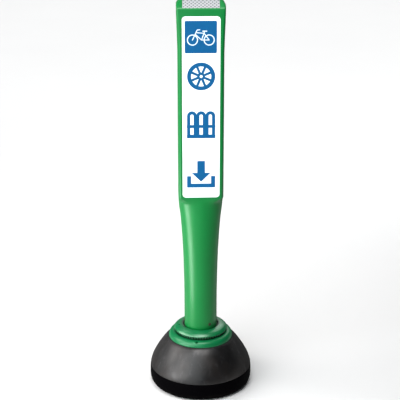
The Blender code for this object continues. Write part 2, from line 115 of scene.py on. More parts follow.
def skin(bm, rings, closed=False):
    """Lofts between rings of equal length; closed joins the last ring to the first."""
    rows = [[bm.verts.new(Vector(p) * MM) for p in ring] for ring in rings]
    pairs = list(zip(rows, rows[1:]))
    if closed:
        pairs.append((rows[-1], rows[0]))
    for low, high in pairs:
        for i in range(len(low)):
            j = (i + 1) % len(low)
            bm.faces.new((low[i], low[j], high[j], high[i]))
    return rows


def filleted(profile, steps):
    """Closed outline of a profile of (x, z, corner radius) rows, with its corners rounded."""
    outline = [Vector(row[:2]) for row in profile]
    points = []
    for i, here in enumerate(outline):
        before = outline[i - 1] - here
        after = outline[(i + 1) % len(outline)] - here
        angle = before.angle(after)
        if angle > math.radians(STRAIGHT):
            points.append(tuple(here))
            continue
        wanted = profile[i][2] / math.tan(angle / 2)
        reach = min(wanted, before.length * FILLET_SHARE, after.length * FILLET_SHARE)
        start = here + before.normalized() * reach
        end = here + after.normalized() * reach
        for k in range(steps + 1):
            t = k / steps
            points.append(tuple(start * (1 - t) ** 2 + here * 2 * t * (1 - t) + end * t ** 2))
    return points


def lathe(name, outline, steps):
    """A closed outline of (radius, height) turned about Z."""
    bm = bmesh.new()
    rings = []
    for i in range(steps):
        x, y = polar(1.0, 360 / steps * i)
        rings.append([(r * x, r * y, z) for r, z in outline])
    skin(bm, rings, closed=True)
    return object_from(name, bm)


def prism(bm, outline, y_low, y_high, place=Matrix.Identity(4)):
    """A flat shape in the XZ plane, thickened from y_low to y_high and then moved to its place."""
    front = [(x, y_low, z) for x, z in outline]
    back = [(x, y_high, z) for x, z in outline]
    rows = skin(bm, [front, back])
    bm.faces.new(rows[0])
    bm.faces.new(rows[1])
    bmesh.ops.transform(bm, matrix=place, verts=rows[0] + rows[1])


def rounded_rect(width, height, radius, centre=(0.0, 0.0), steps=8):
    """Outline of a rectangle with round corners."""
    points = []
    for cx, cz, start in ((1, 1, 0), (-1, 1, 90), (-1, -1, 180), (1, -1, 270)):
        for i in range(steps + 1):
            x, z = polar(radius, start + 90 * i / steps)
            points.append((
                centre[0] + cx * (width / 2 - radius) + x,
                centre[1] + cz * (height / 2 - radius) + z))
    return points


# Material helpers --------

class Look:
    """A Principled material with named helpers for the nodes that give it detail."""

    def __init__(self, name, colour, roughness, **sockets):
        self.mat = bpy.data.materials.new(name)
        self.mat.use_nodes = True
        self.nodes = self.mat.node_tree.nodes
        self.links = self.mat.node_tree.links
        self.shader = self.nodes["Principled BSDF"]
        self.shader.inputs["Base Color"].default_value = (*colour, 1.0)
        self.shader.inputs["Roughness"].default_value = roughness
        for label, value in sockets.items():
            self.shader.inputs[label.replace("_", " ")].default_value = value
        self.place = self.nodes.new("ShaderNodeTexCoord").outputs["Object"]
        self.normal = None

    def scaled(self, scale):
        """Object coordinates stretched by scale, for grain that runs one way."""
        node = self.nodes.new("ShaderNodeMapping")
        node.inputs["Scale"].default_value = scale
        self.links.new(self.place, node.inputs["Vector"])
        return node.outputs["Vector"]

    def noise(self, per_metre, detail=3.0, rough=0.5, vector=None):
        """Cloudy noise, 0 to 1."""
        node = self.nodes.new("ShaderNodeTexNoise")
        node.inputs["Scale"].default_value = per_metre
        node.inputs["Detail"].default_value = detail
        node.inputs["Roughness"].default_value = rough
        self.links.new(vector or self.place, node.inputs["Vector"])
        return node.outputs["Fac"]

    def spots(self, per_metre):
        """Distance to the nearest of many scattered points."""
        node = self.nodes.new("ShaderNodeTexVoronoi")
        node.inputs["Scale"].default_value = per_metre
        self.links.new(self.place, node.inputs["Vector"])
        return node.outputs["Distance"]

    def math(self, operation, a, b=None):
        """One sum; each term is a number or a socket."""
        node = self.nodes.new("ShaderNodeMath")
        node.operation = operation
        for socket, value in zip(node.inputs, (a, b)):
            if value is None:
                continue
            if isinstance(value, (int, float)):
                socket.default_value = value
            else:
                self.links.new(value, socket)
        return node.outputs["Value"]

    def span(self, value, low, high, to_low=0.0, to_high=1.0):
        """Maps low..high to to_low..to_high, and holds the ends."""
        node = self.nodes.new("ShaderNodeMapRange")
        node.inputs["From Min"].default_value = low
        node.inputs["From Max"].default_value = high
        node.inputs["To Min"].default_value = to_low
        node.inputs["To Max"].default_value = to_high
        self.links.new(value, node.inputs["Value"])
        return node.outputs["Result"]

    def spread(self, noise, to_low, to_high):
        """Maps the middle of a noise's range, where most of it lies, to to_low..to_high."""
        return self.span(noise, 0.3, 0.7, to_low, to_high)

    def fade(self, value, start_mm, width_mm):
        """1 up to start_mm, then down to 0 over width_mm."""
        return self.span(value, start_mm * MM, (start_mm + width_mm) * MM, 1.0, 0.0)

    def blend(self, share, a, b):
        """Colour between a and b; each is a tuple or a socket."""
        node = self.nodes.new("ShaderNodeMix")
        node.data_type = "RGBA"
        self.links.new(share, node.inputs["Factor"])
        # Sockets 6 and 7 are the colour pair of this node, and its output 2 the colour result
        for socket, value in ((node.inputs[6], a), (node.inputs[7], b)):
            if isinstance(value, tuple):
                socket.default_value = (*value, 1.0)
            else:
                self.links.new(value, socket)
        return node.outputs[2]

    def colour(self, socket):
        self.links.new(socket, self.shader.inputs["Base Color"])

    def roughness(self, socket):
        self.links.new(socket, self.shader.inputs["Roughness"])

    def bump(self, height, depth_mm):
        """Adds relief of the given depth to what is there already."""
        node = self.nodes.new("ShaderNodeBump")
        node.inputs["Distance"].default_value = depth_mm * MM
        node.inputs["Strength"].default_value = 1.0
        self.links.new(height, node.inputs["Height"])
        if self.normal is not None:
            self.links.new(self.normal, node.inputs["Normal"])
        self.normal = node.outputs["Normal"]
        self.links.new(self.normal, self.shader.inputs["Normal"])

    def facing(self):
        """0 where the surface faces the viewer, 1 at its rim."""
        node = self.nodes.new("ShaderNodeLayerWeight")
        node.inputs["Blend"].default_value = 0.5
        return node.outputs["Facing"]

    def axis(self, letter):
        """One object coordinate, in metres."""
        node = self.nodes.new("ShaderNodeSeparateXYZ")
        self.links.new(self.place, node.inputs["Vector"])
        return node.outputs[letter]


# Colours, linear; a pair is the darker and the paler shade of one material
GREEN_PAIR = ((0.0009, 0.139, 0.030), (0.0011, 0.158, 0.035))
COLLAR_GREEN_PAIR = ((0.0008, 0.112, 0.038), (0.0009, 0.132, 0.046))
# Painted shade: near-black green that stands in for the shade in the collar's grip slot, round its
# bore and in the gap at the pole's foot
PAINTED_SHADE_GREEN = (0.0009, 0.0150, 0.0060)
# Painted shade: the plug is near-black green so that the gap round the pole's foot reads as shade
PLUG_SHADE_PAIR = (PAINTED_SHADE_GREEN, (0.0010, 0.020, 0.008))
BLACK = (0.0045, 0.0045, 0.0050)
SHELL_DUST = (0.015, 0.0105, 0.0085)
SCUFF = (0.022, 0.021, 0.022)
TRAY_BLACK = (0.0012, 0.0010, 0.0015)
TRAY_DUST = (0.009, 0.008, 0.007)
SHEET_WHITE = (0.70, 0.73, 0.75)
SHEET_PAIR = ((0.68, 0.715, 0.735), (0.71, 0.74, 0.755))
PRINT_BLUE_PAIR = ((0.0015, 0.082, 0.200), (0.0026, 0.091, 0.218))
PRINT_WHITE_PAIR = ((0.50, 0.57, 0.61), (0.54, 0.60, 0.64))
SILVER = (0.27, 0.28, 0.29)
PRISM_PAIR = ((0.15, 0.161, 0.176), (0.225, 0.236, 0.251))
CELL_RIM = (0.255, 0.266, 0.277)
SEAL_LINE = (0.42, 0.43, 0.435)
RUBBER = (0.014, 0.014, 0.014)
RUBBER_PAIR = ((0.010, 0.010, 0.010), (0.022, 0.021, 0.020))
ZINC = (0.52, 0.53, 0.55)
ZINC_PAIR = ((0.44, 0.45, 0.48), (0.62, 0.61, 0.58))
CHROMATE = (0.06, 0.055, 0.035)
CHROMATE_PAIR = ((0.045, 0.042, 0.028), (0.085, 0.075, 0.045))
CONCRETE = (0.36, 0.35, 0.33)
CONCRETE_PAIR = ((0.27, 0.26, 0.245), (0.44, 0.43, 0.41))
PAPER = (0.57, 0.57, 0.57)
PAPER_PAIR = ((0.565, 0.567, 0.57), (0.58, 0.582, 0.582))

# Where painted shade darkens collar and ring: the slot between two radii, below a height, the
# bore, and a patch of painted shade beside the bore, which starts and ends at these shares of its
# radius to either side
SLOT_SHADE_R = (50.6, 62.6)
SLOT_SHADE_TOP = 143.2
BORE_SHADE_R = 44.4
SIDE_SHADE_SHARES = (0.75, 0.95)
# Widths over which the painted shade fades out, or in at the slot's foot
SLOT_FOOT_FADE = 0.2
SLOT_RIM_FADE = 0.8
SLOT_TOP_FADE = 0.3
BORE_FADE = 0.6
SIDE_SHADE_FADE = 6.0


def slot_painted_shade(look):
    """Mask of painted shade: 1 inside the grip slot and the collar's bore, with a patch left and
    right, 0 elsewhere.
    """
    x, y, z = (look.axis(letter) for letter in "XYZ")
    square = look.math("ADD", look.math("MULTIPLY", x, x), look.math("MULTIPLY", y, y))
    radius = look.math("SQRT", square)
    foot, rim = SLOT_SHADE_R
    outside = look.span(radius, foot * MM, (foot + SLOT_FOOT_FADE) * MM)
    inside = look.fade(radius, rim, SLOT_RIM_FADE)
    below = look.fade(z, SLOT_SHADE_TOP, SLOT_TOP_FADE)
    slot = look.math("MULTIPLY", look.math("MULTIPLY", outside, inside), below)
    bore = look.fade(radius, BORE_SHADE_R, BORE_FADE)
    # Painted shade to the left and right of the bore, where the pole meets the collar
    near, far = (share * BORE_SHADE_R * MM for share in SIDE_SHADE_SHARES)
    beside = look.span(look.math("ABSOLUTE", x), near, far)
    side_shade = look.math("MULTIPLY", beside, look.fade(radius, BORE_SHADE_R, SIDE_SHADE_FADE))
    return look.math("MAXIMUM", slot, look.math("MAXIMUM", bore, side_shade))


def green_plastic(name, shades, roughness, gloss, grain_mm, streaks, with_painted_shade=False):
    """Satin polyethylene: flow marks, soft mottling and a fine moulded grain.

    With streaks below 1 the flow marks are drawn out along the post. The last flag adds painted
    shade in the grip slot and the bore.
    """
    deep, pale = shades
    look = Look(name, pale, roughness, IOR=1.5, Specular_IOR_Level=gloss)
    flow = look.noise(16.0, 3.0, 0.55, look.scaled((1.0, 1.0, streaks)))
    mottle = look.noise(240.0, 2.0)
    share = look.math("ADD", look.spread(flow, 0.0, 0.75), look.spread(mottle, 0.0, 0.25))
    colour = look.blend(share, deep, pale)
    if with_painted_shade:
        # Painted shade in the slot and the bore, broken up a little by noise
        shade_break_up = look.spread(look.noise(120.0, 4.0, 0.6), 0.80, 1.0)
        colour = look.blend(look.math("MULTIPLY", slot_painted_shade(look), shade_break_up), colour, PAINTED_SHADE_GREEN)
    look.colour(colour)
    rim = look.span(look.facing(), 0.55, 0.90, 0.0, 0.5)
    wear = look.spread(look.noise(60.0, 4.0), roughness - 0.04, roughness + 0.05)
    look.roughness(look.math("ADD", wear, rim))
    look.bump(look.noise(9.0, 1.0), 0.5)
    look.bump(look.noise(2200.0, 2.0), grain_mm)
    return look.mat


def black_shell():
    """Semi-gloss black with dust, upright scuffs, uneven rubbing and a fine pebble grain."""
    look = Look("base_black", BLACK, 0.33, IOR=1.5, Specular_IOR_Level=0.50)
    dust = look.noise(14.0, 5.0, 0.6)
    dusty = look.blend(look.span(dust, 0.45, 0.8), BLACK, SHELL_DUST)
    scuff = look.span(look.noise(95.0, 5.0, 0.6, look.scaled((1.0, 1.0, 0.13))), 0.56, 0.74)
    look.colour(look.blend(scuff, dusty, SCUFF))
    rub = look.noise(70.0, 5.0, 0.65, look.scaled((1.0, 1.0, 0.3)))
    rim = look.span(look.facing(), 0.25, 0.60, 0.0, 0.66)
    look.roughness(look.math("ADD", look.spread(rub, 0.27, 0.47), rim))
    look.bump(look.noise(1500.0, 2.0), 0.03)
    look.bump(look.noise(25.0, 1.0), 0.25)
    return look.mat


def black_tray():
    """Matt recycled black plastic, a little dusty near the floor."""
    look = Look("base_tray_black", TRAY_BLACK, 0.7, IOR=1.45, Specular_IOR_Level=0.02)
    near_floor = look.span(look.axis("Z"), 0.03, 0.0)
    dust = look.math("MULTIPLY", look.noise(45.0, 5.0, 0.65), near_floor)
    look.colour(look.blend(look.span(dust, 0.2, 0.8), TRAY_BLACK, TRAY_DUST))
    look.roughness(look.spread(look.noise(300.0, 3.0), 0.62, 0.76))
    look.bump(look.noise(1300.0, 3.0), 0.06)
    return look.mat


def white_sheet():
    """Satin white film, very slightly uneven."""
    look = Look("sheet_white", SHEET_WHITE, 0.38, IOR=1.46)
    look.colour(look.blend(look.noise(9.0, 2.0), *SHEET_PAIR))
    look.roughness(look.spread(look.noise(90.0, 3.0), 0.34, 0.43))
    look.bump(look.noise(900.0, 2.0), 0.012)
    return look.mat


def printed(name, shades):
    """Screen-printed ink with faint mesh texture and slight density changes."""
    look = Look(name, shades[0], 0.42, IOR=1.46, Specular_IOR_Level=0.25)
    look.colour(look.blend(look.span(look.noise(55.0, 3.0), 0.35, 0.75), *shades))
    look.roughness(look.spread(look.noise(160.0, 2.0), 0.38, 0.47))
    look.bump(look.noise(1800.0, 1.0), 0.008)
    return look.mat


# Main sizes of the post body, as in the CAD --------

POLE_R = 40.0
SIGN_HALF_DEPTH = 36.0
SIGN_HALF_WIDTH = 53.3
OVAL_Z = (235.0, 490.0)
ROOF_FOOT_Z = 939.4
ROOF_HALF_DEPTH = 15.8
ROOF_LEAN = math.atan2(SIGN_HALF_DEPTH - ROOF_HALF_DEPTH, POST_HIGH.z - ROOF_FOOT_Z)
# Width and height of the diamond cells in the reflective strips
CELL = 8.7


def reflective_sheet():
    """Silver prismatic sheet: bright cells, paler seal lines between them and fine prisms."""
    look = Look("reflective_silver", SILVER, 0.3, Metallic=0.35)
    across = look.math("DIVIDE", look.axis("X"), CELL * MM)
    along = look.math("DIVIDE", look.axis("Z"), CELL * MM * math.cos(ROOF_LEAN))
    first = look.math("PINGPONG", look.math("ADD", across, along), 0.5)
    second = look.math("PINGPONG", look.math("SUBTRACT", across, along), 0.5)
    edge = look.math("MINIMUM", first, second)
    seal = look.span(edge, 0.05, 0.12, 1.0, 0.0)
    core = look.span(edge, 0.12, 0.42)
    prisms = look.spots(1100.0)
    cell = look.blend(core, CELL_RIM, look.blend(prisms, *PRISM_PAIR))
    look.colour(look.blend(seal, cell, SEAL_LINE))
    look.roughness(look.span(core, 0.0, 1.0, 0.38, 0.24))
    relief = look.math("ADD", look.math("MULTIPLY", seal, 0.6), look.math("MULTIPLY", prisms, 0.3))
    look.bump(relief, 0.12)
    return look.mat


def rubber(name):
    """Dull black rubber."""
    look = Look(name, RUBBER, 0.8, IOR=1.5)
    look.colour(look.blend(look.noise(80.0, 4.0), *RUBBER_PAIR))
    look.bump(look.noise(1600.0, 3.0), 0.08)
    return look.mat


def zinc_steel():
    """Zinc-plated steel with the patchy shine of tumbled parts."""
    look = Look("zinc_plate", ZINC, 0.32, Metallic=1.0)
    look.colour(look.blend(look.noise(700.0, 4.0), *ZINC_PAIR))
    look.roughness(look.spread(look.noise(400.0, 3.0), 0.25, 0.42))
    look.bump(look.noise(2500.0, 2.0), 0.02)
    return look.mat


def dark_steel():
    """Olive-brown chromate over zinc."""
    look = Look("dark_chromate", CHROMATE, 0.5, Metallic=0.5)
    look.colour(look.blend(look.noise(700.0, 4.0), *CHROMATE_PAIR))
    look.roughness(look.spread(look.noise(400.0, 3.0), 0.42, 0.58))
    return look.mat


def concrete():
    """Cast concrete with stones that show through the skin."""
    look = Look("cast_concrete", CONCRETE, 0.9)
    look.colour(look.blend(look.noise(60.0, 6.0, 0.65), *CONCRETE_PAIR))
    look.bump(look.math("ADD", look.spots(130.0), look.noise(500.0, 5.0)), 0.6)
    return look.mat


def dress(obj, mat):
    """Gives an object one material."""
    obj.data.materials.clear()
    obj.data.materials.append(mat)


def settle(obj, body, slot, mat, *nodes):
    """Material, body and the CAD nodes that the piece stands for; the slot argument is not used.
    """
    dress(obj, mat)
    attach(obj, body)
    if nodes:
        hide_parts(*nodes)


# Sections of the post body --------

# Points along one quarter of a section, and the degrees that the round section gives to each part
SIDE_STEPS = 6
BEVEL_STEPS = 16
FACE_STEPS = 8
SIDE_ARC = 18.0
BEVEL_ARC = 45.0
FACE_ARC = 27.0

# Rows: height, half width, share of the sign section in the blend, bevel width and depth
STATIONS = [
    (150.7, 40.0, 0.00, 6.5, 9.0),
    (235.0, 40.0, 0.00, 6.5, 9.0),
    (280.0, 40.7, 0.00, 6.5, 9.0),
    (328.0, 41.8, 0.00, 6.5, 9.0),
    (365.0, 43.3, 0.00, 6.5, 9.0),
    (395.0, 45.0, 0.00, 6.5, 9.0),
    (422.0, 46.9, 0.00, 6.5, 9.0),
    (445.0, 49.0, 0.00, 6.5, 9.0),
    (462.0, 51.3, 0.00, 6.5, 9.0),
    (476.0, 52.6, 0.05, 6.5, 9.0),
    (484.0, 53.1, 0.30, 6.5, 9.0),
    (490.0, 53.3, 0.70, 6.5, 9.0),
    (495.0, 53.3, 1.00, 6.5, 9.0),
    (830.0, 53.1, 1.00, 6.5, 9.0),
    (885.0, 54.4, 1.00, 6.0, 8.0),
    (920.0, 55.5, 1.00, 5.0, 6.5),
    (939.4, 55.7, 1.00, 4.0, 5.0),
]
# Rows: height, half width, bevel
ROOF_STATIONS = [
    (ROOF_FOOT_Z, 55.7, 4.2),
    (945.0, 55.5, 4.0),
    (949.0, 53.8, 4.0),
    (952.0, 51.4, 3.8),
    (954.6, 48.6, 3.4),
    (956.2, 46.2, 3.0),
    (957.0, 42.8, 2.6),
]
# Above this blend the section is all sign section
FULL_BLEND = 0.999
# Heights of the rings, closer together where the shape changes quickly
BODY_HEIGHTS = [POST_LOW.z, 200.0]
BODY_HEIGHTS += [235.0 + 8.0 * i for i in range(29)]
BODY_HEIGHTS += [463.0 + 3.0 * i for i in range(11)]
BODY_HEIGHTS += [495.0, 600.0, 715.0, 826.0]
BODY_HEIGHTS += [834.0 + 8.0 * i for i in range(13)] + [936.0, 938.4]
ROOF_HEIGHTS = [ROOF_FOOT_Z + 0.6, 942.0, 945.0, 947.5, 949.8, 951.6, 953.2, 954.6, 955.6, 956.3]
# The eave is eased by a small step in, below this height
EAVE_Z = 941.0
EAVE_STEP = 0.18
# Rows: height, half width, step in from the ridge's half depth, bevel
RIDGE_ROWS = [
    (956.8, 44.6, 0.1, 2.8),
    (POST_HIGH.z, 42.2, 1.6, 2.6),
]


def quarter_angles():
    """Angle on the round section for each point of a quarter, in step with sign_section."""
    angles = [SIDE_ARC * i / SIDE_STEPS for i in range(SIDE_STEPS)]
    angles += [SIDE_ARC + BEVEL_ARC * i / BEVEL_STEPS for i in range(BEVEL_STEPS)]
    face_start = SIDE_ARC + BEVEL_ARC
    return angles + [face_start + FACE_ARC * i / FACE_STEPS for i in range(FACE_STEPS)]


def whole(quarter, end):
    """Mirrors a quarter outline, which runs from the side to the face, into a full ring."""
    half = quarter + [end] + [(-x, y) for x, y in reversed(quarter[1:])]
    return half + [(-x, -y) for x, y in half]


def round_section(radius):
    """Circle with as many points as sign_section."""
    return whole([polar(radius, angle) for angle in quarter_angles()], (0.0, radius))


def sign_section(half_width, half_depth, bevel_x, bevel_y):
    """Rectangle with round bevels at its four corners."""
    side = half_depth - bevel_y
    flat = half_width - bevel_x
    quarter = [(half_width, side * i / SIDE_STEPS) for i in range(SIDE_STEPS)]
    for i in range(BEVEL_STEPS):
        x, y = polar(1.0, 90 * i / BEVEL_STEPS)
        quarter.append((flat + bevel_x * x, side + bevel_y * y))
    quarter += [(flat * (1 - i / FACE_STEPS), half_depth) for i in range(FACE_STEPS)]
    return whole(quarter, (0.0, half_depth))


def eased(table, z):
    """Smooth interpolation, without overshoot, of rows whose first entry is the height."""
    last = len(table) - 1
    i = max(k for k in range(last) if table[k][0] <= z or k == 0)
    span = table[i + 1][0] - table[i][0]
    t = (z - table[i][0]) / span
    row = []
    for column in range(1, len(table[0])):
        here, there = table[i][column], table[i + 1][column]
        rise = (there - here) / span
        slopes = []
        for k in (i, i + 1):
            if k == 0 or k == last:
                slopes.append(rise)
                continue
            left = (table[k][column] - table[k - 1][column]) / (table[k][0] - table[k - 1][0])
            right = (table[k + 1][column] - table[k][column]) / (table[k + 1][0] - table[k][0])
            slopes.append(0.0 if left * right <= 0 else 2 * left * right / (left + right))
        leave = t * (1 - t) ** 2 * span
        arrive = -t * t * (1 - t) * span
        ease = t * t * (3 - 2 * t)
        row.append(here + (there - here) * ease + slopes[0] * leave + slopes[1] * arrive)
    return row


def round_depth(z):
    """Half depth of the oval section, which flattens a little on its way up to the sign."""
    share = min(max((z - OVAL_Z[0]) / (OVAL_Z[1] - OVAL_Z[0]), 0.0), 1.0)
    return POLE_R + (SIGN_HALF_DEPTH - POLE_R) * share


def body_ring(z):
    """Section of the post at a height: round or oval, blended into the sign section."""
    half_width, blend, bevel_x, bevel_y = eased(STATIONS, z)
    full = max(SIGN_HALF_WIDTH, half_width) if blend > FULL_BLEND else SIGN_HALF_WIDTH
    sign = sign_section(full, SIGN_HALF_DEPTH, bevel_x, bevel_y)
    squash = round_depth(z) / POLE_R
    circle = [(x, y * squash) for x, y in round_section(POLE_R)]
    ring = [(cx + (sx - cx) * blend, cy + (sy - cy) * blend)
            for (cx, cy), (sx, sy) in zip(circle, sign)]
    widest = max(x for x, y in ring)
    return [(x * half_width / widest, y, z) for x, y in ring]


def roof_depth(z):
    """Half depth between the two roof slopes at a height."""
    share = (z - ROOF_FOOT_Z) / (POST_HIGH.z - ROOF_FOOT_Z)
    return SIGN_HALF_DEPTH + (ROOF_HALF_DEPTH - SIGN_HALF_DEPTH) * share


def body_rings():
    """All sections of the post, from the foot to the ridge."""
    rings = [body_ring(z) for z in BODY_HEIGHTS]
    sections = []
    for z in ROOF_HEIGHTS:
        half_width, bevel = eased(ROOF_STATIONS, z)
        sections.append((z, half_width, roof_depth(z) - (EAVE_STEP if z < EAVE_Z else 0.0), bevel))
    for z, half_width, step, bevel in RIDGE_ROWS:
        sections.append((z, half_width, ROOF_HALF_DEPTH - step, bevel))
    for z, half_width, half_depth, bevel in sections:
        rings.append([(x, y, z) for x, y in sign_section(half_width, half_depth, bevel, bevel)])
    return rings


# Sheets in shallow recesses --------

SHEET_RECESS = 1.2
SHEET_T = 0.8
SHEET_BACK = SHEET_RECESS - GAP
SHEET_FRONT = SHEET_BACK - SHEET_T
SHEET_EDGE = 0.15
SIGN_SIZE = (SIGN_HIGH.x - SIGN_LOW.x, SIGN_HIGH.z - SIGN_LOW.z)
SIGN_CORNER_R = 8.2
STRIP_SIZE = (84.0, 24.0)
STRIP_CORNER_R = 2.0
BODY_SHARP = 30.0
SIDES = (("front", -1), ("rear", 1))


def roof_place(side):
    """Middle of a roof slope with -Y as its outward normal; side -1 is the front."""
    mid_y = (SIGN_HALF_DEPTH + ROOF_HALF_DEPTH) / 2
    mid_z = (POST_HIGH.z + ROOF_FOOT_Z) / 2
    spot = Matrix.Translation(Vector((0.0, -mid_y, mid_z)) * MM)
    front = spot @ Matrix.Rotation(-ROOF_LEAN, 4, "X")
    return front if side < 0 else HALF_TURN @ front


def face_place(side):
    """Middle of a sign face with -Y as its outward normal; side -1 is the front."""
    spot = Vector((0.0, -SIGN_HALF_DEPTH, (SIGN_LOW.z + SIGN_HIGH.z) / 2)) * MM
    front = Matrix.Translation(spot)
    return front if side < 0 else HALF_TURN @ front


def make_post_body(mat):
    """The post's shell with its four recesses for the sheets."""
    bm = bmesh.new()
    rows = skin(bm, body_rings())
    bm.faces.new(rows[0])
    bm.faces.new(rows[-1])
    body = object_from("post_body", bm)
    tools = []
    for word, side in SIDES:
        for place, size, radius in (
                (face_place(side), SIGN_SIZE, SIGN_CORNER_R + GAP),
                (roof_place(side), STRIP_SIZE, STRIP_CORNER_R)):
            cut = bmesh.new()
            outline = rounded_rect(size[0] + 2 * GAP, size[1] + 2 * GAP, radius)
            prism(cut, outline, -SHEET_RECESS * 4, SHEET_RECESS, place)
            tools.append(object_from("recess_" + word, cut))
    combine(body, tools, "DIFFERENCE", BODY_SHARP)
    settle(body, "post", "green_plastic", mat, "post_shell")


def make_sheet(name, size, radius, place, slot, mat, node):
    """A thin sheet in its recess, with softened edges."""
    edge = rounded_rect(size[0], size[1], radius)
    face = rounded_rect(size[0] - 2 * SHEET_EDGE, size[1] - 2 * SHEET_EDGE, radius - SHEET_EDGE)
    bm = bmesh.new()
    rows = skin(bm, [
        [(x, SHEET_BACK, z) for x, z in edge],
        [(x, SHEET_FRONT + SHEET_EDGE, z) for x, z in edge],
        [(x, SHEET_FRONT, z) for x, z in face],
    ])
    bm.faces.new(rows[0])
    bm.faces.new(rows[-1])
    bmesh.ops.transform(bm, matrix=place, verts=bm.verts)
    settle(object_from(name, bm), "post", slot, mat, node)


# Printed marks --------

# Heights are the object's own; the rest is measured from each mark's middle
INK_T = 0.04
INK_SHARP = 20.0
PANEL_SIZE = (72.6, 73.0)
PANEL_CORNER_R = 3.2
PANEL_X = -0.8
PANEL_Z = 875.6
BICYCLE_RISE = 0.5
MARK_HEIGHTS = (786.0, 673.0, 553.0)
MARK_WIDTH = 66.0
MARK_CORNER_R = 1.2
MARK_CORNER_STEPS = 3


def stroke(start, end, width, steps=6):
    """A straight bar with round ends."""
    run = Vector(end) - Vector(start)
    lean = math.degrees(math.atan2(run.y, run.x))
    points = []
    for centre, turn in ((end, -90), (start, 90)):
        for i in range(steps + 1):
            x, z = polar(width / 2, lean + turn + 180 * i / steps)
            points.append((centre[0] + x, centre[1] + z))
    return points


def bar(start, end, width):
    """A straight bar with square ends."""
    run = (Vector(end) - Vector(start)).normalized()
    across = Vector((-run.y, run.x)) * width / 2
    a, b = Vector(start), Vector(end)
    return [tuple(a - across), tuple(b - across), tuple(b + across), tuple(a + across)]


def block(width, height, centre):
    """A rectangle with slightly softened corners."""
    return rounded_rect(width, height, MARK_CORNER_R, centre, MARK_CORNER_STEPS)


def ring_shape(centre, outer, inner, steps=56):
    """Outer and inner loop of a flat ring."""
    return [[(centre[0] + x, centre[1] + z) for x, z in
             (polar(radius, 360 / steps * i) for i in range(steps))] for radius in (outer, inner)]


def ink(name, flats, rings, layer, side, mat):
    """One printed layer: flat outlines and rings joined into one thin solid on the sheet."""
    high = SHEET_FRONT - INK_T * layer
    low = high - INK_T
    solids = []
    for outline in flats:
        bm = bmesh.new()
        prism(bm, outline, low, high, face_place(side))
        solids.append(object_from(name, bm, INK_SHARP))
    for outer, inner in rings:
        bm = bmesh.new()
        loops = [[(x, y, z) for x, z in loop]
                 for loop, y in ((outer, low), (outer, high), (inner, high), (inner, low))]
        skin(bm, loops, closed=True)
        bmesh.ops.transform(bm, matrix=face_place(side), verts=bm.verts)
        solids.append(object_from(name, bm, INK_SHARP))
    if solids[1:]:
        combine(solids[0], solids[1:], "UNION", INK_SHARP)
    settle(solids[0], "post", "sign_sheet", mat)


def bicycle(centre):
    """A plain bicycle: two wheels, a diamond frame, a fork with a short bar and a saddle."""
    cx, cz = centre
    front, rear, crank = (-18.8, -7.0), (18.8, -7.0), (1.5, -7.0)
    steer, seat = (-8.2, 15.5), (8.6, 12.0)
    tyre = (12.6, 10.1)

    def along(a, b, t):
        return (a[0] + (b[0] - a[0]) * t, a[1] + (b[1] - a[1]) * t)

    head, neck = along(front, steer, 0.74), along(front, steer, 0.58)
    post = along(crank, seat, 0.80)
    lines = [
        (front, steer, 2.2), (steer, (-2.4, 15.9), 2.2), (head, post, 2.1), (neck, crank, 2.2),
        (crank, seat, 2.2), (crank, rear, 2.2), (post, rear, 2.0),
        ((4.6, 12.9), (13.2, 12.9), 2.6),
    ]
    flats = [stroke((cx + a[0], cz + a[1]), (cx + b[0], cz + b[1]), width)
             for a, b, width in lines]
    rings = [ring_shape((cx + x, cz + z), *tyre) for x, z in (front, rear)]
    return flats, rings


def wheel_mark(centre):
    """A spoked wheel."""
    cx, cz = centre
    spokes, spoke_start, spoke_end, spoke_width = 8, 6.0, 25.5, 5.6
    rings = [ring_shape(centre, 32.0, 23.0), ring_shape(centre, 9.0, 3.4)]
    flats = []
    for i in range(spokes):
        angle = 360 / spokes * (i + 0.5)
        x1, z1 = polar(spoke_start, angle)
        x2, z2 = polar(spoke_end, angle)
        flats.append(bar((cx + x1, cz + z1), (cx + x2, cz + z2), spoke_width))
    return flats, rings


def hoop(x, foot, top, width, centre, steps=12):
    """An upside-down U: two legs and a round arch."""
    cx, cz = centre
    half = 7.6
    arch = top - half - width / 2
    outer, inner = [], []
    for i in range(steps + 1):
        ox, oz = polar(half + width / 2, 180 * i / steps)
        ix, iz = polar(half - width / 2, 180 - 180 * i / steps)
        outer.append((cx + x + ox, cz + arch + oz))
        inner.append((cx + x + ix, cz + arch + iz))
    low = cz + foot
    return [(outer[0][0], low)] + outer + [(outer[-1][0], low), (inner[0][0], low)] + inner + [
        (inner[-1][0], low)]


def rack_mark(centre):
    """A cycle rack: three hoops on a ground bar, with a rail across them."""
    cx, cz = centre
    flats = [hoop(x, -26.0, 32.0, 7.4, centre) for x in (-21.2, 0.0, 21.2)]
    flats.append(block(MARK_WIDTH, 8.6, (cx, cz - 27.7)))
    flats.append(block(MARK_WIDTH, 7.0, (cx, cz - 4.0)))
    return flats, []


def arrow_mark(centre):
    """A down arrow over a bracket."""
    cx, cz = centre
    head = [(cx - 22.0, cz + 4.0), (cx, cz - 18.0), (cx + 22.0, cz + 4.0)]
    flats = [head, block(18.0, 32.0, (cx, cz + 17.0)), block(MARK_WIDTH, 9.6, (cx, cz - 27.2))]
    flats += [block(9.6, 28.0, (cx + x, cz - 18.0)) for x in (-28.2, 28.2)]
    return flats, []


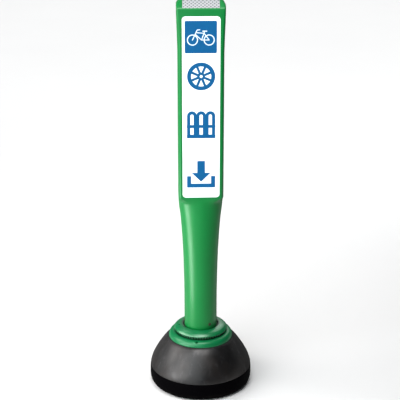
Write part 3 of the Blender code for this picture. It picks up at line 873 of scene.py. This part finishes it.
def make_print(word, side, blue, white):
    """Blue panel with a white bicycle, and three marks below it."""
    middle = (SIGN_LOW.z + SIGN_HIGH.z) / 2
    panel = (PANEL_X, PANEL_Z - middle)
    panel_shape = rounded_rect(PANEL_SIZE[0], PANEL_SIZE[1], PANEL_CORNER_R, panel)
    ink("print_panel_" + word, [panel_shape], [], 0, side, blue)
    flats, rings = bicycle((panel[0], panel[1] + BICYCLE_RISE))
    ink("print_bicycle_" + word, flats, rings, 1, side, white)
    marks = zip((wheel_mark, rack_mark, arrow_mark), MARK_HEIGHTS)
    for number, (shape, height) in enumerate(marks, 1):
        flats, rings = shape((0.0, height - middle))
        ink("print_mark_%d_%s" % (number, word), flats, rings, 0, side, blue)


# Collar, ring and base --------

# Profiles: radius, height and corner rounding of each corner, all turned about Z
COLLAR_PROFILE = [
    (45.2, 154.0, 0.8), (50.0, 153.6, 12.0), (55.0, 152.6, 12.0), (59.4, 150.8, 8.0),
    (62.8, 148.4, 6.0), (65.2, 145.9, 3.0), (66.3, 144.4, 1.0), (65.4, 143.3, 0.8),
    (59.5, 143.0, 1.0), (59.5, 128.8, 0.6), (58.9, 128.2, 0.6), (54.8, 128.2, 0.5),
    (54.8, 150.7, 0.6), (43.6, 150.7, 0.4), (43.6, 153.2, 1.0),
]
RING_PROFILE = [
    (66.0, 136.4, 3.0), (69.8, 136.2, 9.0), (73.4, 134.9, 9.0), (76.3, 132.3, 8.0),
    (78.2, 128.8, 8.0), (79.3, 125.0, 1.0), (79.4, 122.4, 0.3), (76.7, 122.4, 0.3),
    (75.6, 127.2, 4.0), (71.8, 129.0, 4.0), (66.0, 129.2, 2.0), (66.0, 122.4, 0.5),
    (51.0, 122.4, 2.0), (51.0, 55.0, 2.0), (6.5, 55.0, 0.5), (6.5, 60.0, 0.5), (45.0, 60.0, 2.0),
    (45.0, 145.4, 0.8), (51.6, 145.4, 0.8), (51.6, 126.5, 1.0), (62.6, 126.5, 1.0),
    (62.6, 134.9, 1.0), (63.5, 136.1, 0.8),
]
DOME_PROFILE = [
    (54.0, 122.1, 0.4), (80.6, 122.1, 3.0), (84.8, 119.2, 14.0), (90.2, 113.6, 30.0),
    (95.6, 106.8, 40.0), (103.9, 94.8, 40.0), (109.5, 86.3, 40.0), (114.2, 78.0, 40.0),
    (118.2, 70.5, 40.0), (121.4, 63.5, 40.0), (124.0, 55.6, 30.0), (125.6, 49.6, 12.0),
    (126.2, 46.2, 0.8), (122.2, 46.2, 0.4), (121.6, 51.0, 4.0), (118.0, 62.0, 20.0),
    (106.0, 84.0, 20.0), (92.0, 105.0, 20.0), (80.8, 118.2, 3.0), (54.0, 118.2, 0.4),
]
TRAY_PROFILE = [
    (121.2, 50.0, 0.5), (121.4, 45.0, 0.4), (126.3, 45.0, 0.9), (126.8, 38.0, 20.0),
    (126.9, 24.0, 20.0), (126.0, 14.6, 14.0), (123.9, 8.8, 8.0), (121.0, 5.0, 8.0),
    (118.2, 3.5, 8.0), (114.8, 3.0, 2.0), (17.0, 3.0, 1.5), (17.0, 50.0, 1.5), (6.5, 50.0, 0.4),
    (6.5, 54.7, 0.4), (21.0, 54.7, 2.0), (21.0, 7.0, 2.0), (108.0, 7.0, 4.0), (116.6, 11.0, 6.0),
    (122.2, 24.0, 8.0), (122.2, 37.0, 4.0), (118.2, 43.6, 2.0), (118.2, 50.0, 0.5),
]
# Flats round each turned part, and flats in each rounded corner of the profiles
COLLAR_STEPS = 240
RING_STEPS = 192
BASE_STEPS = 256
PAD_STEPS = 64
COLLAR_CORNER_STEPS = 5
CORNER_STEPS = 4

RIB_COUNT = 60
RIB_PROFILE = [
    (58.6, 138.6), (60.0, 138.2), (63.4, 138.2), (64.2, 139.2), (64.2, 143.6), (58.6, 143.6),
]
RIB_HALF_WIDTH = 1.15

# Two-start thread between collar and neck; each start's ridge lies between the other part's two
THREAD_LEAD = 12.0
THREAD_TURNS = 1.08
THREAD_Z = 130.5
THREAD_START = 3.75
THREAD_STEPS = 96
THREAD_ROOT_HALF = 1.5
THREAD_CREST_HALF = 0.7
COLLAR_RIDGE_R = (55.6, 52.8)
NECK_RIDGE_R = (50.8, 53.8)

# Ring screws: circle and angles, then radius, low and high end and flats of the cylinders there
RING_SCREW_CIRCLE_R = 72.5
RING_SCREW_ANGLES = (-99.5, 20.5, 140.5)
RING_BOSS = (4.8, 122.6, 129.4, 32)
RING_SINK = (3.5, 128.2, 150.0, 32)
RING_DRILL = (1.9, 110.0, 140.0, 24)
DOME_DRILL = (1.9, 100.0, 130.0, 16)

# Inner and outer radius, then low and high end
KEY_SLOT = (43.0, 47.8, 72.0, 150.0)
KEY_SLOT_HALF_WIDTH = 4.5
KEY_SLOT_COUNT = 3
KEY_SLOT_START = 30.0
NOTCH = (77.5, 84.0, 123.4, 126.6)
NOTCH_HALF_WIDTH = 1.1
NOTCH_TURN = -1.9

TRAY_RIB_COUNT = 12
TRAY_RIB_PROFILE = [(16.0, 1.2), (104.0, 1.2), (108.0, 3.4), (16.0, 3.4)]
TRAY_RIB_HALF_WIDTH = 1.25

# Rubber pads; the grip grooves are measured in from the pad's edge
PAD_COUNT = 4
FOOT_BORE_R = 0.6
FOOT_BEVEL = 0.6
GROOVES_IN = (3.0, 6.5, 10.0)
GROOVE_MOUTH_HALF = 0.7
GROOVE_BED_HALF = 0.4
GROOVE_DEPTH = 0.8

# Screws: head radius and height; the rows are shares of these two
RING_SCREW_HEAD = (3.1, 2.0)
POST_SCREW_HEAD = (3.8, 1.5)
POST_SCREW_ANGLES = (-58.5, 61.5, 181.5)
POST_SHANK_L = 9.0
SHANK_R = 1.6
HEAD_ROWS = ((0.55, 0.96), (0.85, 0.72), (1.0, 0.3), (1.0, 0.0))
CROSS_ARM = 0.62
CROSS_HALF_WIDTH = 0.11
CROSS_DEPTH = 0.55
SCREW_STEPS = 32
# How much further each next screw's cross is turned, in radians
RING_SCREW_TWIST = 0.3
POST_SCREW_TWIST = 0.5


def about_z(degrees):
    """Turn about the post's axis."""
    return Matrix.Rotation(math.radians(degrees), 4, "Z")


def slab(inner, outer, low, high):
    """Rectangle between two radii and two heights."""
    return [(inner, low), (outer, low), (outer, high), (inner, high)]


def prisms_round(name, angles, outline, half_width):
    """One mesh with the same prism at each angle round the axis."""
    bm = bmesh.new()
    for angle in angles:
        prism(bm, outline, -half_width, half_width, about_z(angle))
    return object_from(name, bm)


def even_angles(count, start):
    """Angles that share out a full turn."""
    return [start + 360 / count * i for i in range(count)]


def at_ring_screws(name, size):
    """Upright cylinders of (radius, low, high, flats) at the places of the ring screws."""
    radius, low, high, flats = size
    bm = bmesh.new()
    for angle in RING_SCREW_ANGLES:
        spot = Vector((*polar(RING_SCREW_CIRCLE_R, angle), (low + high) / 2)) * MM
        bmesh.ops.create_cone(
            bm, cap_ends=True, segments=flats, radius1=radius * MM, radius2=radius * MM,
            depth=(high - low) * MM, matrix=Matrix.Translation(spot))
    return object_from(name, bm)


def helix(bm, ridge, start_z, start_angle):
    """Sweeps a closed ridge of (radius, height) points along one start of the thread."""
    rings = []
    for i in range(round(THREAD_STEPS * THREAD_TURNS) + 1):
        turn = i / THREAD_STEPS
        ring = []
        for radius, dz in ridge:
            x, y = polar(radius, start_angle + THREAD_START + 360 * turn)
            ring.append((x, y, start_z + THREAD_LEAD * turn + dz))
        rings.append(ring)
    rows = skin(bm, rings)
    bm.faces.new(rows[0])
    bm.faces.new(rows[-1])


def thread(name, root, crest, lift):
    """Both ridges of one part's thread, from its root to its crest radius."""
    bm = bmesh.new()
    ridge = [(root, -THREAD_ROOT_HALF), (crest, -THREAD_CREST_HALF),
             (crest, THREAD_CREST_HALF), (root, THREAD_ROOT_HALF)]
    for angle in (0.0, 180.0):
        helix(bm, ridge, THREAD_Z + lift, angle)
    return object_from(name, bm)


def make_collar(mat):
    """Upper ring with its skirt, grip ribs and inner thread."""
    collar = lathe("collar", filleted(COLLAR_PROFILE, COLLAR_CORNER_STEPS), COLLAR_STEPS)
    angles = even_angles(RIB_COUNT, 180 / RIB_COUNT)
    ribs = prisms_round("ribs", angles, RIB_PROFILE, RIB_HALF_WIDTH)
    ridges = thread("collar_ridges", *COLLAR_RIDGE_R, THREAD_LEAD / 4)
    combine(collar, [ridges, ribs], "UNION")
    settle(collar, "collar", "collar_plastic", mat, "lock_collar")


def make_ring(mat):
    """Lower ring with its threaded neck, the socket with key slots and the screw holes."""
    ring = lathe("lower_ring", filleted(RING_PROFILE, CORNER_STEPS), RING_STEPS)
    ridges = thread("neck_ridges", *NECK_RIDGE_R, 0.0)
    combine(ring, [ridges, at_ring_screws("bosses", RING_BOSS)], "UNION")
    slot_angles = even_angles(KEY_SLOT_COUNT, KEY_SLOT_START)
    slots = prisms_round("slots", slot_angles, slab(*KEY_SLOT), KEY_SLOT_HALF_WIDTH)
    sinks = at_ring_screws("sinks", RING_SINK)
    drills = at_ring_screws("drills", RING_DRILL)
    notch_angles = [angle + NOTCH_TURN for angle in RING_SCREW_ANGLES]
    notches = prisms_round("notches", notch_angles, slab(*NOTCH), NOTCH_HALF_WIDTH)
    combine(ring, [slots, sinks, drills, notches], "DIFFERENCE")
    settle(ring, "base", "ring_plastic", mat, "base_ring")


def make_dome(mat):
    """Upper shell of the base, with its screw holes."""
    dome = lathe("dome", filleted(DOME_PROFILE, CORNER_STEPS), BASE_STEPS)
    combine(dome, [at_ring_screws("drills", DOME_DRILL)], "DIFFERENCE")
    settle(dome, "base", "shell_plastic", mat, "base_shell")


def make_tray(mat):
    """Lower band and floor of the base, with ribs underneath."""
    tray = lathe("tray", filleted(TRAY_PROFILE, CORNER_STEPS), BASE_STEPS)
    angles = even_angles(TRAY_RIB_COUNT, 180 / TRAY_RIB_COUNT)
    ribs = prisms_round("floor_ribs", angles, TRAY_RIB_PROFILE, TRAY_RIB_HALF_WIDTH)
    combine(tray, [ribs], "UNION")
    settle(tray, "base", "tray_plastic", mat, "base_tray")


def make_foot(number, mat):
    """A rubber pad with grip rings in its face."""
    low, high = corners("foot_%d" % number)
    centre = (low + high) / 2
    radius = (high.x - low.x) / 2
    bed = low.z + GROOVE_DEPTH
    outline = [(radius, high.z), (radius, low.z + FOOT_BEVEL), (radius - FOOT_BEVEL, low.z)]
    for inset in GROOVES_IN:
        at = radius - inset
        outline += [(at + GROOVE_MOUTH_HALF, low.z), (at + GROOVE_BED_HALF, bed),
                    (at - GROOVE_BED_HALF, bed), (at - GROOVE_MOUTH_HALF, low.z)]
    outline += [(FOOT_BORE_R, low.z), (FOOT_BORE_R, high.z)]
    pad = lathe("pad_%d" % number, outline, PAD_STEPS)
    pad.data.transform(Matrix.Translation(Vector((centre.x, centre.y, 0.0)) * MM))
    settle(pad, "base", "foot_rubber", mat, "foot_%d" % number)


def make_screw(name, node, body, place, head, shank_l, mat):
    """A pan-head screw with a cross recess; its head's underside is at the place given."""
    head_r, head_h = head
    outline = [(head_r * r, head_h * z) for r, z in HEAD_ROWS]
    outline += [(SHANK_R, 0.0), (SHANK_R, SHANK_R - shank_l)]
    bm = bmesh.new()
    angles = even_angles(SCREW_STEPS, 0.0)
    rows = skin(bm, [[(*polar(r, angle), z) for angle in angles] for r, z in outline])
    for row, z in ((rows[0], head_h), (rows[-1], -shank_l)):
        tip = bm.verts.new((0.0, 0.0, z * MM))
        for i in range(SCREW_STEPS):
            bm.faces.new((row[i], row[(i + 1) % SCREW_STEPS], tip))
    screw = object_from(name, bm)
    arm, half, bed = head_r * CROSS_ARM, head_r * CROSS_HALF_WIDTH, head_h - head_h * CROSS_DEPTH
    shape = [(-arm, head_h + 1), (-arm * 0.5, bed), (arm * 0.5, bed), (arm, head_h + 1)]
    bars = [prisms_round("cross", [angle], shape, half) for angle in (0.0, 90.0)]
    combine(screw, bars, "DIFFERENCE")
    screw.data.transform(place)
    settle(screw, body, "zinc_steel", mat, node)


def make_screws(mat, dark):
    """Upright screws sunk in the ring, and level ones through the post's wall."""
    head_h = RING_SCREW_HEAD[1]
    for i, angle in enumerate(RING_SCREW_ANGLES, 1):
        node = "ring_screw_%d" % i
        low, high = corners(node)
        x, y = polar(RING_SCREW_CIRCLE_R, angle)
        twist = Matrix.Rotation(RING_SCREW_TWIST * i, 4, "Z")
        place = Matrix.Translation(Vector((x, y, high.z - head_h)) * MM) @ twist
        make_screw("ring_fixing_%d" % i, node, "base", place,
                   RING_SCREW_HEAD, high.z - low.z - head_h, mat)
    for i, angle in enumerate(POST_SCREW_ANGLES, 1):
        node = "post_screw_%d" % i
        low, high = corners(node)
        spot = Matrix.Translation(Vector((POLE_R + GAP, 0.0, (low.z + high.z) / 2)) * MM)
        twist = Matrix.Rotation(POST_SCREW_TWIST * i, 4, "Z")
        place = about_z(angle) @ spot @ Matrix.Rotation(math.pi / 2, 4, "Y") @ twist
        make_screw("post_fixing_%d" % i, node, "post", place, POST_SCREW_HEAD, POST_SHANK_L, dark)


# Studio --------

FLOOR_SIZE = 40.0
WORLD_STRENGTH = 0.07
VIEW_GAMMA = 0.87

# Camera: metres from the post's axis and above the floor, degrees down and round, metres aside,
# then focal length and film width in millimetres
CAMERA_DISTANCE = 2.30
CAMERA_HEIGHT = 1.25
CAMERA_PITCH = 18.56
CAMERA_TURN = -2.0
CAMERA_SIDE = -0.0014
CAMERA_LENS = 90.8
CAMERA_FILM = 36.0

# Tall soft windows on the left: direction in degrees, width and foot in metres, brightness, tint
WINDOWS = (
    (-92.0, 1.20, 0.55, 7.4, (1.0, 0.97, 0.95)),
    (-46.0, 1.30, 0.05, 6.9, (1.0, 1.0, 1.0)),
    (-12.0, 0.90, 0.05, 2.7, (0.90, 0.97, 1.0)),
)
WINDOW_DISTANCE = 1.75
WINDOW_TOP = 2.15
WINDOW_AIM = (0.0, 0.0, 0.45)
WINDOW_SPREAD = 116.0


def make_floor():
    """A wide sheet of pale paper under the post."""
    bm = bmesh.new()
    bmesh.ops.create_grid(bm, x_segments=2, y_segments=2, size=FLOOR_SIZE)
    floor = object_from("studio_floor", bm)
    look = Look("floor_paper", PAPER, 0.9)
    look.colour(look.blend(look.noise(1.5, 2.0), *PAPER_PAIR))
    dress(floor, look.mat)


def make_world():
    """Faint even light from all round."""
    world = bpy.data.worlds.new("studio")
    world.use_nodes = True
    world.node_tree.nodes["Background"].inputs["Color"].default_value = (1.0, 1.0, 1.0, 1.0)
    world.node_tree.nodes["Background"].inputs["Strength"].default_value = WORLD_STRENGTH
    bpy.context.scene.world = world


def make_softbox(name, spot, aim, size, radiance, spread, tint=(1.0, 1.0, 1.0)):
    """A rectangular light, out of the camera's sight; its spread acts as a grid on its front.

    The power is set so that the front looks equally bright, seen square on, at any spread.
    """
    light = bpy.data.lights.new(name, "AREA")
    light.shape = "RECTANGLE"
    light.size, light.size_y = size
    light.color = tint
    light.spread = math.radians(spread)
    half = light.spread / 2
    gathered = 1.0 - half / math.tan(half)
    light.energy = radiance * math.pi * size[0] * size[1] * gathered
    obj = bpy.data.objects.new(name, light)
    obj.location = spot
    obj.rotation_euler = (Vector(aim) - Vector(spot)).to_track_quat("-Z", "Y").to_euler()
    obj.visible_camera = False
    bpy.context.scene.collection.objects.link(obj)


def around(distance, degrees, height):
    """A spot at a distance from the post's axis; 0 degrees is in front, minus is to the left."""
    angle = math.radians(degrees)
    return distance * math.sin(angle), -distance * math.cos(angle), height


# The other lights: name, spot, aim, width and height, brightness, spread
SOFTBOXES = (
    ("low_left", around(0.58, -62.0, 0.20), (0.0, 0.0, 0.42), (0.26, 0.38), 13.0, 90.0),
    ("overhead", (0.02, -0.95, 2.2), (0.0, 0.0, 0.1), (1.3, 1.3), 9.0, 140.0),
    ("rear_fill", around(2.3, 165.0, 1.7), (0.0, 0.0, 0.4), (1.6, 1.6), 2.4, 120.0),
    ("backdrop", (0.3, 5.3, 2.4), (0.3, 5.3, 0.0), (8.0, 8.6), 6.0, 100.0),
)


def make_lights():
    """Windows for the long highlights, and boxes for the base, the top, the rear and the floor."""
    for number, (degrees, width, foot, glow, tint) in enumerate(WINDOWS, 1):
        spot = around(WINDOW_DISTANCE, degrees, (foot + WINDOW_TOP) / 2)
        size = (width, WINDOW_TOP - foot)
        make_softbox("window_%d" % number, spot, WINDOW_AIM, size, glow, WINDOW_SPREAD, tint)
    for row in SOFTBOXES:
        make_softbox(*row)


def make_camera():
    """Camera in front of the post, turned a little round it and looking down."""
    data = bpy.data.cameras.new("camera")
    data.lens = CAMERA_LENS
    data.sensor_width = CAMERA_FILM
    camera = bpy.data.objects.new("camera", data)
    turn = math.radians(CAMERA_TURN)
    pitch = math.radians(CAMERA_PITCH)
    level = math.cos(pitch)
    spot = Vector((math.sin(turn), -math.cos(turn), 0.0)) * CAMERA_DISTANCE
    spot += Vector((math.cos(turn), math.sin(turn), 0.0)) * CAMERA_SIDE
    spot.z = CAMERA_HEIGHT
    look = Vector((-math.sin(turn) * level, math.cos(turn) * level, -math.sin(pitch)))
    camera.location = spot
    camera.rotation_euler = look.to_track_quat("-Z", "Y").to_euler()
    bpy.context.scene.collection.objects.link(camera)
    bpy.context.scene.camera = camera


def make_pieces(steel):
    """Every piece that stands for CAD nodes, and the prints."""
    green = green_plastic("post_green", GREEN_PAIR, 0.33, 0.42, 0.02, 0.25)
    # The last flag gives ring and collar painted shade in the grip slot and the bore
    ring_mat = green_plastic("ring_green", COLLAR_GREEN_PAIR, 0.34, 0.42, 0.03, 1.0, True)
    collar_mat = green_plastic("collar_green", COLLAR_GREEN_PAIR, 0.30, 0.85, 0.03, 1.0, True)
    white = white_sheet()
    silver = reflective_sheet()
    blue = printed("print_blue", PRINT_BLUE_PAIR)
    pale = printed("print_white", PRINT_WHITE_PAIR)
    make_post_body(green)
    for word, side in SIDES:
        make_sheet("sign_sheet_" + word, SIGN_SIZE, SIGN_CORNER_R, face_place(side),
                   "sign_sheet", white, word + "_sign")
        make_sheet("reflector_" + word, STRIP_SIZE, STRIP_CORNER_R, roof_place(side),
                   "reflective_sheet", silver, word + "_reflector")
        make_print(word, side, blue, pale)
    make_collar(collar_mat)
    make_ring(ring_mat)
    make_dome(black_shell())
    make_tray(black_tray())
    pad = rubber("pad_rubber")
    for number in range(1, PAD_COUNT + 1):
        make_foot(number, pad)
    make_screws(steel, dark_steel())


def dress_kept_nodes(steel):
    """Materials of the hidden CAD nodes, which keep their own shape."""
    # The plug's near-black green is painted shade for the gap at the pole's foot
    plug = green_plastic("plug_green", PLUG_SHADE_PAIR, 0.5, 0.3, 0.03, 1.0)
    dress(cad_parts["ballast"], concrete())
    dress(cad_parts["foot_plug"], plug)
    dress(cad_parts["foot_gasket"], rubber("gasket_rubber"))
    for node in ("tie_bolt", "tie_nut", "socket_washer", "nut_washer"):
        dress(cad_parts[node], steel)


def make_studio():
    """Floor, lights, camera and the way the picture is shown."""
    make_floor()
    make_world()
    make_lights()
    make_camera()
    bpy.context.scene.view_settings.view_transform = "Standard"
    bpy.context.scene.view_settings.gamma = VIEW_GAMMA


zinc = zinc_steel()
make_pieces(zinc)
dress_kept_nodes(zinc)
make_studio()
